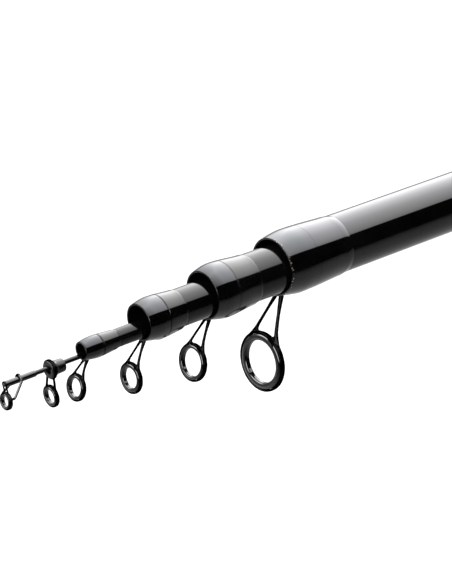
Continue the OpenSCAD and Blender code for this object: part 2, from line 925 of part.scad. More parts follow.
// Bore that the cap screws into: wide enough to let the closed sections out
thread_r = outer(1, length(1)) + 0.35;
plug_r = thread_r - slide_gap;
head_r = grip_r - 0.2;
seal_ring_r = (plug_r + head_r) / 2;

// Ferrule glued over the butt tube's rear end
module butt_ferrule() {
    edge = 0.8;
    front_x = grip_rear_x - glue_gap;
    color(black_metal)
        revolve_x()
            polygon([
                [thread_r, ferrule_x],
                [head_r - edge, ferrule_x],
                [head_r, ferrule_x + edge],
                [head_r, front_x - edge],
                [head_r - edge, front_x],
                [blank_at(front_x), front_x],
                [blank_at(butt_rear_x), butt_rear_x - glue_gap],
                [thread_r, butt_rear_x - glue_gap]
            ]);
}

// Screw cap: plug, fluted head, groove for the sealing ring and bed for the rubber pad
module butt_cap() {
    edge = 1;
    face_x = head_x + head_len;
    bed_r = head_r - pad_border;
    color(black_metal)
        difference() {
            revolve_x()
                polygon([
                    [0, head_x],
                    [head_r - edge, head_x],
                    [head_r, head_x + edge],
                    [head_r, face_x],
                    [plug_r, face_x],
                    [plug_r, pad_x],
                    [0, pad_x]
                ]);
            translate([head_x - 1, 0, 0])
                rotate([0, 90, 0])
                    cylinder(r = bed_r, h = butt_pad_bed + 1);
            revolve_x()
                translate([seal_ring_r - seal_r - glue_gap, face_x - 2 * seal_r])
                    square([2 * (seal_r + glue_gap), 2 * seal_r + 1]);
            flutes(head_flutes, head_r, head_x - 1, head_len - 1);
        }
}

module cap_seal() {
    color(rubber)
        revolve_x()
            translate([seal_ring_r, ferrule_x - glue_gap - seal_r])
                circle(seal_r);
}

module butt_pad() {
    r = head_r - pad_border - glue_gap;
    edge = 1.2;
    face_x = head_x + butt_pad_bed;
    color(rubber)
        revolve_x()
            polygon([
                [0, face_x - butt_pad_t],
                [r - edge, face_x - butt_pad_t],
                [r, face_x - butt_pad_t + edge],
                [r, face_x],
                [0, face_x]
            ]);
}

module shock_pad() {
    edge = 1;
    color(rubber)
        revolve_x()
            polygon([
                [0, pad_x],
                [plug_r - 0.1, pad_x],
                [plug_r - 0.1, pad_x + shock_pad_t - edge],
                [plug_r - 0.1 - edge, pad_x + shock_pad_t],
                [0, pad_x + shock_pad_t]
            ]);
}

tube(0);  // butt_blank
end_collar(0);  // butt_end_collar
whipping(0);  // butt_whipping
guide_frame(0);  // butt_guide_frame
guide_ring(0);  // butt_guide_ring
tube(1);  // second_blank
end_collar(1);  // second_end_collar
whipping(1);  // second_whipping
guide_frame(1);  // second_guide_frame
guide_ring(1);  // second_guide_ring
tube(2);  // third_blank
end_collar(2);  // third_end_collar
whipping(2);  // third_whipping
guide_frame(2);  // third_guide_frame
guide_ring(2);  // third_guide_ring
tube(3);  // fourth_blank
end_collar(3);  // fourth_end_collar
whipping(3);  // fourth_whipping
guide_frame(3);  // fourth_guide_frame
guide_ring(3);  // fourth_guide_ring
tip_blank();
tip_top_tube();
tip_top_frame();
tip_top_ring();
float_guide_sleeve();
float_guide_frame();
float_guide_ring();
rear_grip();
rear_winding_check();
reel_seat_pipe();
fixed_hood();
moving_hood();
lock_nut();
fore_grip();
fore_winding_check();
butt_ferrule();
butt_cap();
cap_seal();
butt_pad();
shock_pad();
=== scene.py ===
import math

import bmesh
import bpy
import numpy as np
from mathutils import Matrix, Vector


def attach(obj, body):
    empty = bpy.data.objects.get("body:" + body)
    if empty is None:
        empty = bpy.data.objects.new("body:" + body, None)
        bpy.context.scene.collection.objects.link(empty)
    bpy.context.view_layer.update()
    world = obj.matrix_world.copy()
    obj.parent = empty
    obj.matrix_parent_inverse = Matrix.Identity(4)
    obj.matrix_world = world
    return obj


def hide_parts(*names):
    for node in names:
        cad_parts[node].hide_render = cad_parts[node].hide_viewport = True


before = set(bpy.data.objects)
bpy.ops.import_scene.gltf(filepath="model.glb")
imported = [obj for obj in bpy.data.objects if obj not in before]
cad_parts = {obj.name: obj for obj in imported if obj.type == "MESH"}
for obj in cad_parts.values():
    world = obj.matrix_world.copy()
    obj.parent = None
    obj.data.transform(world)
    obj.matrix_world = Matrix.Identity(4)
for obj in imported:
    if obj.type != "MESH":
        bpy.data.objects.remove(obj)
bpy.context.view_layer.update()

# A closed telescopic rod, dressed around its CAD frame. X runs along the rod to the tip, Z up, and
# the guides hang below. Sizes are in millimetres, the same as the part's; materials and the studio
# are in metres. A distance called s is behind a section's mouth.
MM = 0.001

# One value each for the butt, second, third and fourth tube; a fifth is the solid tip's
NAMES = ["butt", "second", "third", "fourth"]
TIP = 4
TUBE_R = [13.1, 10.7, 8.05, 3.8, 0.92]  # outer radius behind the whipping
BORE = [12.2, 9.9, 7.25, 3.2]  # radius of the bore at the mouth
WALL = [1.05, 0.85, 0.8, 0.75]  # wall at the rear end
SWELL = [14.35, 12.1, 9.1, 4.65]  # largest radius of the end collar
COLLAR = [15.4, 10.7, 9.9, 8.6]  # length of the end collar
WHIP = [35.6, 24.0, 19.2, 16.6, 0.0]  # where the whipping behind the collar ends
OUT = [38.8, 33.8, 29.3, 36.5]  # how far the next mouth stands out of this one
HOLD = [65.0, 60.0, 50.0, 45.0]  # length of the taper that locks the next tube
LEDGE = [0.32, 0.29, 0.255, 0.2]  # height of the step at the whipping's end
LEDGE_LEN = [3.6, 0.8, 0.7, 0.5]  # length of that step
SEAM = [0.03, 0.11, 0.2, 0.16]  # half width of the groove between collar and whipping
SEAM_SHADE = [0.0, 0.24, 0.45, 0.45]  # gloss taken away next to the groove, as painted shade of the groove
COLLAR_NOSE = [0.34, 0.34, 0.34, 0.22]  # rounding of the collar's front
FOOT_RIDGE = [0.35, 0.65, 1.1, 0.45]  # height of the lacquer over the guide's foot
RING_D = [25.0, 15.0, 12.0, 10.0]  # outer diameter of the guide's ceramic ring
HOLE_D = [19.0, 11.8, 8.6, 7.4]  # its hole
AHEAD = [4.5, 5.2, 4.3, 2.9]  # ring's centre before the mouth
DROP = [44.0, 29.7, 24.0, 15.3]  # ring's centre below the axis
LEAN = [5.0, 11.0, 6.0, 13.0]  # ring's lean in degrees
ROOT_AHEAD = [-0.4, 0.9, 1.5, 0.6]  # how far before its foot a guide's legs come out
ROOT_DROP = [0.75, 0.6, 0.65, 0.35]  # how far the bridge between the legs hangs down

BUTT_LEN, BUTT_BEHIND, BUTT_TAPER = 745.0, 24.0, 0.0013
INNER_REAR = -16.7  # x of the inner sections' rear ends
RIM, LIP = 0.75, 0.18  # wall at the mouth, and the collar's share of it
CREST, FULL = 0.72, 0.75  # place of the collar's crest, and how full it falls behind that
LIE, LOCK, GLUE = 0.14, 0.14, 0.04  # gaps where a tube lies, where it locks, and under glued pieces
FOOT_BACK, FOOT_SHARE = 2.4, 0.17  # start of a guide's foot: this, and a share of the tube's radius
HAIR = 0.02  # keeps neighbouring faces out of one plane

# Facets round an axis
TUBE_SIDES, TURNED_SIDES, RING_SIDES, SMALL_SIDES, TIP_SIDES = 192, 160, 144, 128, 96
BAR_SIDES, WIRE_SIDES = 18, 14
# Edges sharper than this many degrees stay sharp
CREASE, SOFT_CREASE, NO_CREASE = 38, 50, 180


def mouth_x(k):
    """X of a section's mouth in the closed rod."""
    return BUTT_LEN - BUTT_BEHIND + sum(OUT[:k])


def length(k):
    """Length of a section."""
    return BUTT_LEN if k == 0 else mouth_x(k) - INNER_REAR


def taper(k):
    """Growth of the outer radius to the rear; it locks a drawn section in the one around it."""
    if k == 0:
        return BUTT_TAPER
    return (BORE[k - 1] - LOCK - TUBE_R[k]) / (length(k) - WHIP[k] - HOLD[k - 1])


def outer(k, s):
    """Outer radius of a section's tube."""
    return TUBE_R[k] + taper(k) * max(0.0, s - WHIP[k])


def bore(k, s):
    """Radius of the bore: the next tube's taper near the mouth, then straight to the rear."""
    if s <= HOLD[k]:
        return BORE[k] + taper(k + 1) * s
    lock = BORE[k] + taper(k + 1) * HOLD[k]
    rear = outer(k, length(k)) - WALL[k]
    return lock + (rear - lock) * (s - HOLD[k]) / (length(k) - HOLD[k])


def slack(k, s):
    """Room between a section and the bore around it, s behind the outer mouth."""
    return bore(k - 1, s) - outer(k, s + OUT[k - 1]) - LIE


def lie_slope(k):
    """Slope at which a closed section lies in the bore around it."""
    deep = mouth_x(k - 1) - INNER_REAR
    return min((slack(k, s) - slack(k, 0)) / s for s in (HOLD[k - 1], deep))


def seat_r(k):
    """Radius of the tube under its collar and whipping."""
    return BORE[k] + RIM - LIP


def swell(k, s):
    """Outer radius of the collar and of the whipping behind it."""
    nose, crest = BORE[k] + RIM, CREST * COLLAR[k]
    if s < crest:
        return nose + (SWELL[k] - nose) * math.sin(math.pi / 2 * s / crest)
    fall = (1 + math.cos(math.pi * (s - crest) / (WHIP[k] - crest))) / 2
    return TUBE_R[k] + LEDGE[k] + (SWELL[k] - TUBE_R[k] - LEDGE[k]) * max(fall, 0.0) ** FULL


def foot_front(k):
    """Where the guide's foot starts under the lacquer, behind the mouth."""
    return FOOT_BACK + FOOT_SHARE * TUBE_R[k]


def section_places():
    """Frame of each section: origin at its mouth, X along its axis."""
    places = [Matrix.Translation((mouth_x(0), 0, 0))]
    for k in range(1, TIP + 1):
        slope = lie_slope(k)
        step = Matrix.Translation((OUT[k - 1], 0, -(slack(k, 0) - slope * OUT[k - 1])))
        places.append(places[-1] @ step @ Matrix.Rotation(-math.atan(slope), 4, "Y"))
    return places


PLACE = section_places()
HERE = Matrix.Identity(4)


# Mesh helpers; a shape is (vertices in millimetres, faces)
def bridge(rows, closed):
    """Faces between neighbouring rows of vertices; a row of one vertex is a pole."""
    faces = []
    for i in range(len(rows) if closed else len(rows) - 1):
        a, b = rows[i], rows[(i + 1) % len(rows)]
        count = max(len(a), len(b))
        for j in range(count):
            m = (j + 1) % count
            quad = [a[j % len(a)], a[m % len(a)], b[m % len(b)], b[j % len(b)]]
            face = [v for n, v in enumerate(quad) if v not in quad[:n]]
            if len(face) > 2:
                faces.append(tuple(face))
    return faces


def revolve(outline, count=TURNED_SIDES):
    """Closed outline of (radius, x) points turned about X."""
    a = np.linspace(0, 2 * math.pi, count, endpoint=False)
    verts, rows, base = [], [], 0
    for r, x in outline:
        n = count if r > 1e-6 else 1
        verts.append(np.stack([np.full(n, x), r * np.cos(a[:n]), r * np.sin(a[:n])], 1))
        rows.append(list(range(base, base + n)))
        base += n
    return np.concatenate(verts), bridge(rows, True)


def bezier(a, b, c, steps=28):
    """Points along a bend from a to c that is pulled toward b."""
    a, b, c = (np.array(p, float) for p in (a, b, c))
    t = np.linspace(0, 1, steps + 1)[:, None]
    return (1 - t) ** 2 * a + 2 * t * (1 - t) * b + t * t * c


def rounded(points, radius, steps=5, closed=True):
    """The line with its corners rounded; radius is one number, or one for each point."""
    straight, folded = math.radians(88), math.radians(2)  # corners beyond these stay
    share = 0.48  # the most of a side that one corner takes
    n = len(points)
    radii = [radius] * n if np.isscalar(radius) else radius
    out = []
    for i in range(n):
        p, a, b = (np.array(points[j % n], float) for j in (i, i - 1, i + 1))
        if radii[i] <= 0 or (not closed and i in (0, n - 1)):
            out.append(tuple(p))
            continue
        u, v = a - p, b - p
        lu, lv = np.linalg.norm(u), np.linalg.norm(v)
        u, v = u / lu, v / lv
        half = math.acos(max(-1.0, min(1.0, float(u @ v)))) / 2
        if half > straight or half < folded:
            out.append(tuple(p))
            continue
        trim = min(radii[i] / math.tan(half), share * lu, share * lv)
        out += [tuple(q) for q in bezier(p + trim * u, p, p + trim * v, steps)]
    return out


def bow(cx, cy, rx, ry, a0, a1, steps):
    """Points along part of an ellipse, from a0 to a1 degrees."""
    angles = np.radians(np.linspace(a0, a1, steps + 1))
    return [(cx + rx * math.cos(a), cy + ry * math.sin(a)) for a in angles]


def sweep(path, radius, reference=(0, 1, 0), flat=1.0, sides=BAR_SIDES):
    """Bar along a path, with one radius or one for each point.

    The radius is along reference; across that, the bar is flat times as thick.
    """
    path = np.array(path, float)
    n = len(path)
    radius = np.full(n, radius) if np.isscalar(radius) else np.array(radius, float)
    a = np.linspace(0, 2 * math.pi, sides, endpoint=False)
    verts, rows = [], []
    for i in range(n):
        t = path[min(i + 1, n - 1)] - path[max(i - 1, 0)]
        t /= np.linalg.norm(t)
        side = np.cross(t, reference)
        side /= np.linalg.norm(side)
        up = np.cross(side, t)
        circle = flat * np.cos(a)[:, None] * side + np.sin(a)[:, None] * up
        verts.append(path[i] + radius[i] * circle)
        rows.append(list(range(i * sides, (i + 1) * sides)))
    faces = bridge(rows, False) + [tuple(reversed(rows[0])), tuple(rows[-1])]
    return np.concatenate(verts), faces


def moved(shape, matrix):
    """The shape, placed by a matrix."""
    m = np.array(matrix)
    return shape[0] @ m[:3, :3].T + m[:3, 3], shape[1]


def joined(*shapes):
    """Several shapes as one."""
    verts, faces, base = [], [], 0
    for v, f in shapes:
        verts.append(v)
        faces += [tuple(i + base for i in g) for g in f]
        base += len(v)
    return np.concatenate(verts), faces


def cad_shape(node):
    """A CAD node's own skin in millimetres, with its doubled corners merged."""
    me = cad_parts[node].data
    co = np.array([v.co for v in me.vertices]) / MM
    merged, index = np.unique(np.round(co, 4), axis=0, return_inverse=True)
    index = index.ravel()
    faces = [tuple(int(index[v]) for v in f.vertices) for f in me.polygons]
    return merged, [f for f in faces if len(set(f)) == len(f)]


def new_object(name, shape):
    """A linked object of a shape in millimetres, with its faces turned outward."""
    me = bpy.data.meshes.new(name)
    me.from_pydata((shape[0] * MM).tolist(), [], shape[1])
    me.validate()
    bm = bmesh.new()
    bm.from_mesh(me)
    bmesh.ops.recalc_face_normals(bm, faces=bm.faces)
    bm.to_mesh(me)
    bm.free()
    o = bpy.data.objects.new(name, me)
    bpy.context.collection.objects.link(o)
    return o


def fused(shape, voxel, passes):
    """One skin over overlapping solids, with its inside corners softened."""
    o = new_object("fuse", shape)
    remesh = o.modifiers.new("skin", "REMESH")
    remesh.mode = "VOXEL"
    remesh.voxel_size = voxel * MM
    smooth = o.modifiers.new("soften", "SMOOTH")
    smooth.factor = 0.5
    smooth.iterations = passes
    evaluated = o.evaluated_get(bpy.context.evaluated_depsgraph_get())
    done = bpy.data.meshes.new_from_object(evaluated)
    verts = np.array([v.co for v in done.vertices]) / MM
    faces = [tuple(f.vertices) for f in done.polygons]
    rough = o.data
    bpy.data.objects.remove(o)
    for me in (rough, done):
        bpy.data.meshes.remove(me)
    return verts, faces


def piece(name, shape, place, node, body, material, crease=CREASE):
    """A visual piece that stands for a CAD node and rides on its body."""
    o = new_object(name.replace(" ", "_") + "_skin", moved(shape, place))
    me = o.data
    me.polygons.foreach_set("use_smooth", [True] * len(me.polygons))
    me.set_sharp_from_angle(angle=math.radians(crease))
    me.materials.append(material)
    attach(o, body)
    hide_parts(node)
    return o


# Materials
class Nodes:
    """Short calls for building a node tree; a value may be another node's output."""

    def __init__(self, tree):
        self.tree = tree
        tree.nodes.clear()

    def set(self, socket, value):
        if isinstance(value, bpy.types.NodeSocket):
            self.tree.links.new(value, socket)
        else:
            socket.default_value = value

    def add(self, kind, **values):
        node = self.tree.nodes.new(kind)
        for key, value in values.items():
            if key in node.inputs:
                self.set(node.inputs[key], value)
            else:
                setattr(node, key, value)
        return node

    def math(self, operation, *values):
        node = self.add("ShaderNodeMath", operation=operation)
        for socket, value in zip(node.inputs, values):
            self.set(socket, value)
        return node.outputs[0]

    def split(self, vector):
        """The x, y and z of a vector."""
        return self.add("ShaderNodeSeparateXYZ", Vector=vector).outputs

    def noise(self, scale, detail, roughness, vector):
        node = self.add("ShaderNodeTexNoise", Scale=scale, Detail=detail, Roughness=roughness)
        self.set(node.inputs["Vector"], vector)
        return node.outputs["Fac"]

    def remap(self, value, low, high, to_low=0.0, to_high=1.0):
        node = self.add("ShaderNodeMapRange", Value=value)
        limits = {"From Min": low, "From Max": high, "To Min": to_low, "To Max": to_high}
        for key, limit in limits.items():
            node.inputs[key].default_value = limit
        return node.outputs["Result"]

    def mix(self, fac, a, b):
        """Mix of two colours; a colour mix has them on sockets 6 and 7 and gives output 2."""
        node = self.add("ShaderNodeMix", data_type="RGBA")
        for i, value in ((0, fac), (6, a), (7, b)):
            self.set(node.inputs[i], value)
        return node.outputs[2]

    def ramp(self, value, stops, low, high, blue=1.0):
        """Colour ramp over (value, grey) stops between two limits."""
        node = self.add("ShaderNodeValToRGB")
        self.set(node.inputs[0], self.remap(value, low, high))
        elements = node.color_ramp.elements
        while len(elements) < len(stops):
            elements.new(0.5)
        for element, (place, grey) in zip(elements, stops):
            element.position = (place - low) / (high - low)
            element.color = (grey, grey, grey * blue, 1)
        return node.outputs[0]

    def pick(self, test, shader, shader_if):
        """One shader, or another for the rays that the test is true for."""
        node = self.add("ShaderNodeMixShader")
        for socket, value in zip(node.inputs, (test, shader, shader_if)):
            self.set(socket, value)
        return node.outputs[0]


def new_material(name):
    """A material, its tree, its shader and the coordinates to draw on."""
    m = bpy.data.materials.new(name)
    m.use_nodes = True
    n = Nodes(m.node_tree)
    bsdf = n.add("ShaderNodeBsdfPrincipled")
    n.add("ShaderNodeOutputMaterial", Surface=bsdf.outputs[0])
    coord = n.add("ShaderNodeTexCoord").outputs["Object"]
    return m, n, bsdf, coord


def bump(n, bsdf, height, distance):
    """Relief of so many metres."""
    node = n.add("ShaderNodeBump", Strength=1.0, Distance=distance, Height=height)
    n.set(bsdf.inputs["Normal"], node.outputs[0])


BRASSY, SHEEN_GREY = (0.6, 0.51, 0.36, 1), (0.17, 0.17, 0.17, 1)  # what wear shows on a mouth's rim, and the lighter grey painted on the tip-top's near brace as a sheen
RIM_WEAR, GROOVE_SHADE_SPAN = (0.0009, 0.0004), (0.0004, 0.0006)  # where they fade, from mouth and seam
SHEEN_EDGE = (0.0004, 0.0003)  # over which the painted sheen fades in, along x and y
SPECULAR = 0.5  # the shader's own level


def glossy(name, color, rough, wave, ior=1.75, scale=90.0, tint=(1, 1, 1), metallic=0.0,
           threads=None, rim_x=None, seam=None, sheen_at=None):
    """Gloss black coat with slow waves, and a roughness that changes as fine dust does.

    threads is the pitch of thread ridges under the coat, rim_x a mouth with specks of wear, seam
    the x of the groove behind a collar and the gloss taken away there as painted shade, and
    sheen_at the x and y behind and beside which a lighter grey is painted on as a sheen.
    """
    m, n, bsdf, coord = new_material(name)
    soft = n.noise(scale, 2.0, 0.45, coord)
    fine = n.noise(scale * 14, 4.0, 0.6, coord)
    patch = n.noise(scale * 0.6, 3.0, 0.55, coord)
    lighter = tuple(c * 1.8 + 0.001 for c in color)
    base = n.mix(n.remap(patch, 0.35, 0.7), (*color, 1), (*lighter, 1))
    roughness = n.remap(n.math("MULTIPLY", fine, patch), 0.12, 0.42, *rough)
    height = n.math("ADD", soft, n.math("MULTIPLY", fine, 0.02))
    bsdf.inputs["Metallic"].default_value = metallic
    if threads:
        uneven = n.math("MULTIPLY", n.noise(400.0, 2.0, 0.5, coord), threads * 0.5)
        lay = n.math("ADD", n.split(coord)[0], uneven)
        ridge = n.math("SINE", n.math("MULTIPLY", lay, 2 * math.pi / threads))
        height = n.math("ADD", height, n.math("MULTIPLY", ridge, 0.03))
    if rim_x is not None:
        near = n.remap(n.split(coord)[0], *(rim_x - b for b in RIM_WEAR))
        specks = n.remap(n.noise(1100.0, 2.0, 0.6, coord), 0.6, 0.66)
        wear_and_sheen = n.math("MULTIPLY", near, specks)
        base = n.mix(wear_and_sheen, base, BRASSY)
        roughness = n.math("ADD", roughness, n.math("MULTIPLY", wear_and_sheen, 0.25))
        n.set(bsdf.inputs["Metallic"], n.math("MULTIPLY", wear_and_sheen, 0.8))
    # Painted shade: the collar's gloss is dulled over about its last half millimetre before the
    # groove, standing in for the groove's shade
    if seam:
        seam_x, shade = seam
        groove_shade = n.remap(n.split(coord)[0], *(seam_x + b for b in GROOVE_SHADE_SPAN), 1.0, 0.0)
        level = n.math("MULTIPLY_ADD", groove_shade, -shade, SPECULAR)
        n.set(bsdf.inputs["Specular IOR Level"], level)
    # Painted sheen: behind that x and beside that y, on the tip-top's near brace, the coat turns a
    # lighter grey and rougher, standing in for the light it reflects
    if sheen_at:
        x, y, _ = n.split(coord)
        behind = n.remap(x, sheen_at[0] - SHEEN_EDGE[0], sheen_at[0], 1.0, 0.0)
        beside = n.remap(y, sheen_at[1] - SHEEN_EDGE[1], sheen_at[1])
        wear_and_sheen = n.math("MULTIPLY", behind, beside)
        base = n.mix(wear_and_sheen, base, SHEEN_GREY)
        roughness = n.math("ADD", roughness, n.math("MULTIPLY", wear_and_sheen, 0.3))
    bump(n, bsdf, height, wave)
    n.set(bsdf.inputs["Base Color"], base)
    n.set(bsdf.inputs["Roughness"], roughness)
    bsdf.inputs["IOR"].default_value = ior
    bsdf.inputs["Specular Tint"].default_value = (*tint, 1)
    return m


def soft_coat(name, color, rough, grain, depth, metallic=0.0, stretch=None):
    """Satin or matte surface with a grain, drawn out along X if stretch says so."""
    m, n, bsdf, coord = new_material(name)
    vector = coord
    if stretch:
        vector = n.add("ShaderNodeMapping", Scale=stretch, Vector=coord).outputs[0]
    fine = n.noise(grain, 4.0, 0.6, vector)
    patch = n.noise(grain * 0.04, 3.0, 0.6, coord)
    lighter = tuple(c * 1.5 for c in color)
    base = n.mix(n.remap(patch, 0.35, 0.7), (*color, 1), (*lighter, 1))
    n.set(bsdf.inputs["Base Color"], base)
    n.set(bsdf.inputs["Roughness"], n.remap(fine, 0.3, 0.7, rough - 0.06, rough + 0.08))
    bsdf.inputs["IOR"].default_value = 1.45
    bsdf.inputs["Metallic"].default_value = metallic
    bump(n, bsdf, fine, depth)
    return m


def by_section(values, k):
    """The first three sections share a value; the slim fourth has its own."""
    return values[0] if k < 3 else values[1]


JET, WARM_BLACK = (0.0006, 0.0006, 0.0007), (0.0008, 0.0008, 0.0007)
WINDING = 0.00035  # pitch of the whipping's thread
STEEL = dict(rough=(0.12, 0.2), wave=0.000004, scale=300.0, tint=(0, 0, 0), metallic=1.0)
LACQUER = glossy("gloss lacquer", JET, (0.015, 0.045), 0.000008)
# The fourth's thin lacquer has a lower IOR: its dimmer gloss is painted shade from the third
# section's mouth
BLANKS = [LACQUER] + [
    glossy("thin lacquer " + NAMES[k], WARM_BLACK, (0.04, 0.09), 0.000006,
           ior=by_section((1.58, 1.5), k), tint=(1.0, 0.98, 0.955))
    for k in range(1, 4)
]
COLLARS = [
    glossy("collar lacquer " + NAMES[k], JET, (0.02, 0.06), 0.000008,
           ior=by_section((1.82, 1.74), k), tint=(0.95, 0.965, 1.0),
           rim_x=mouth_x(k) * MM if k == 0 else None,
           seam=((mouth_x(k) - COLLAR[k]) * MM, SEAM_SHADE[k]) if k else None)
    for k in range(4)
]
WHIPPINGS = [
    glossy("thick lacquered thread", (0.0007, 0.0007, 0.0007), (0.03, 0.08), 0.000012,
           ior=1.83, tint=(0.965, 0.965, 1.0), threads=WINDING)
] + [
    glossy("lacquered thread " + NAMES[k], (0.0008, 0.0007, 0.0006), (0.05, 0.11), 0.000016,
           ior=by_section((1.73, 1.66), k), tint=(1.0, 0.985, 0.955), threads=WINDING)
    for k in range(1, 4)
]
FRAME = glossy("black coated steel", (0.006, 0.006, 0.006), **STEEL)
# Tip-top frame, with a painted sheen of lighter grey on its near brace
TIP_FRAME = glossy("coated steel with painted sheen", (0.015, 0.015, 0.015), **STEEL,
                   sheen_at=(PLACE[TIP].translation.x * MM - 0.0011, 0.0008))
CERAMIC = glossy("polished ceramic", WARM_BLACK, (0.03, 0.06), 0.000002, ior=1.8, scale=300.0)
SLEEVE = glossy("satin sleeve", (0.0008, 0.0008, 0.0008), (0.22, 0.32), 0.000005, ior=1.6,
                scale=300.0)
GRIP = soft_coat("grip foam", (0.012, 0.012, 0.012), 0.72, 2600.0, 0.00012)
PAD = soft_coat("pad rubber", (0.010, 0.010, 0.010), 0.6, 1500.0, 0.00005)
SEAT = soft_coat("seat plastic", (0.008, 0.008, 0.0085), 0.3, 3000.0, 0.000012)
CHECK = soft_coat("anodised aluminium", (0.05, 0.05, 0.053), 0.28, 900.0, 0.000008,
                  metallic=1.0, stretch=(8, 1, 1))

# Tubes with their collars and whippings
RIDGE_SPREAD = 34  # half width of the ridge over the foot, in degrees
RIDGE_AFTER, RIDGE_RISE, RIDGE_FALL = 0.6, 4.0, 0.9  # its start on the foot, and its ramps
END_WAVE, WAVE_LEN = 0.16, 2.0  # unevenness of the lacquer's end, and how far it reaches
TUBE_RINGS, SKIN_RINGS = 8, 40


def over_foot(shape, k):
    """Lifts lacquer over the guide's foot below it, and makes its rear end a little uneven."""
    verts = shape[0].copy()
    behind, r = -verts[:, 0], np.hypot(verts[:, 1], verts[:, 2])
    turn = np.arctan2(verts[:, 1], -verts[:, 2])  # from straight down
    off = np.degrees(turn) / RIDGE_SPREAD
    start, end = foot_front(k) + RIDGE_AFTER, WHIP[k] - 0.4 * LEDGE_LEN[k]
    ramps = np.minimum((behind - start) / RIDGE_RISE, (end - behind) / RIDGE_FALL)
    along = np.clip(ramps, 0, 1)
    rise = FOOT_RIDGE[k] * np.exp(-off ** 2) * along * along * (3 - 2 * along)
    outside = r > seat_r(k) + 2 * GLUE
    verts[:, 1:] *= np.where(outside, 1 + rise / r, 1.0)[:, None]
    at_end = np.clip((behind - WHIP[k]) / WAVE_LEN + 1.25, 0, 1) * outside
    wave = 1.6 + np.sin(2 * turn + k) + 0.6 * np.sin(5 * turn + 2 * k)
    verts[:, 0] -= END_WAVE * at_end * wave
    return verts, shape[1]


def tube_shape(k):
    """Tube with a bed for collar and whipping, and the bore's taper."""
    full = length(k)
    rear_r = outer(k, full)
    line = [(BORE[k], 0), (seat_r(k), 0), (seat_r(k), -WHIP[k]), (TUBE_R[k], -WHIP[k])]
    line += [(outer(k, s), -s) for s in np.linspace(WHIP[k], full, TUBE_RINGS + 2)[1:-1]]
    line += [(rear_r, -full), (rear_r - WALL[k], -full), (bore(k, HOLD[k]), -HOLD[k])]
    edges = [0.16, 0.02, 0, 0.12] + [0] * TUBE_RINGS + [0.25, 0.25, 0]
    return revolve(rounded(line, edges), TUBE_SIDES)


def seam_point(k, inset, rise):
    """Point in the groove between collar and whipping, in shares of its half width."""
    return swell(k, COLLAR[k]) - inset * SEAM[k], rise * SEAM[k] - COLLAR[k]


def collar_shape(k):
    """Swelled end collar: rounded front, swell, and its half of the groove."""
    bed, nose = seat_r(k) + GLUE, COLLAR_NOSE[k]
    front = [(bed + HAIR + nose * 0.5 * math.sin(a), HAIR - nose * (1 - math.cos(a)))
             for a in np.linspace(0, 1.3, 6)]
    skin = [(swell(k, s), -s) for s in np.linspace(0, COLLAR[k], SKIN_RINGS)
            if nose * 1.1 < s < COLLAR[k] - SEAM[k] and swell(k, s) > front[-1][0]]
    groove = [seam_point(k, 0.3, 0.4), seam_point(k, 1, 0)]
    line = [(bed, HAIR)] + front[1:] + skin + groove + [(bed, -COLLAR[k])]
    return over_foot(revolve(line, TUBE_SIDES), k)


def whipping_shape(k):
    """Lacquered whipping: its half of the groove, the waist, and the step down to the tube."""
    bed, edge = seat_r(k) + GLUE, LEDGE_LEN[k]
    front = -COLLAR[k] - HAIR
    groove = [(bed, front), (seam_point(k, 1, 0)[0], front), seam_point(k, 0.3, -0.6)]
    spots = np.linspace(COLLAR[k] + SEAM[k], WHIP[k] - edge, SKIN_RINGS + 4)
    skin = [(swell(k, s), -s) for s in spots]
    foot = TUBE_R[k] + HAIR
    drop = skin[-1][0] - foot
    step = [(foot + drop * (1 - u * u), -WHIP[k] + edge * (1 - u) - HAIR)
            for u in np.linspace(0, 1, 13)[1:]]
    line = groove + skin + step + [(bed, -WHIP[k] + 2 * HAIR)]
    return over_foot(revolve(line, TUBE_SIDES), k)


for k, name in enumerate(NAMES):
    body = name + "_section"
    piece(name + " tube", tube_shape(k), PLACE[k], name + "_blank", body, BLANKS[k])
    piece(name + " collar", collar_shape(k), PLACE[k], name + "_end_collar", body,
          COLLARS[k], SOFT_CREASE)
    piece(name + " whipping", whipping_shape(k), PLACE[k], name + "_whipping", body,
          WHIPPINGS[k], SOFT_CREASE)

# Ring guides
FRAME_WALL, FRAME_WALL_GROWTH = 0.92, 0.03  # frame ring's wall on a 10 mm ring, and per mm more
FRAME_THIN, FRAME_CREST, FRAME_HALF, FRAME_INSIDE = 0.87, 0.6, 0.4, 0.22  # shares of wall and width
CERAMIC_W, CERAMIC_W_GROWTH = 1.55, 0.065  # ceramic's width: this, and more per mm of ring
CERAMIC_LAND, CERAMIC_CREST, CERAMIC_FOOT = 0.8, 0.45, 15  # flat side, crest, end in degrees
LEG_D, LEG_GROWTH, LEG_APART = 0.75, 0.04, 1.3  # a leg's thickness, and how far from the middle
FLANK = 31  # where the legs land on the ring, in degrees from its top
RUN_IN, BOW, FORWARD, INWARD = 0.45, 0.01, 0.55, 0.43  # place and pull of the bend in a leg
LEG_AT, LEG_THICK, LEG_FLAT = [0, 0.12, 0.4, 1], [1.4, 1.3, 0.98, 1.08], 0.8
YOKE_AHEAD, YOKE_UNDER, YOKE_BOW = 0.3, 0.15, 0.1  # the bar that joins the legs at the collar
WEBS = ((-17, 0.17, 0.72), (-8, 0.1, 0.8), (12, 0.1, 0.7), (24, 0.2, 0.5))  # turn, rise, pull
WEB_STEPS, WEB_THICK = 14, (0.8, 0.62)


def insert_w(d):
    """Width of a ceramic ring along its axis."""
    return CERAMIC_W + CERAMIC_W_GROWTH * d


def wall_of(d):
    """Radial wall of the frame round a ceramic ring."""
    return FRAME_WALL + FRAME_WALL_GROWTH * (d - 10)


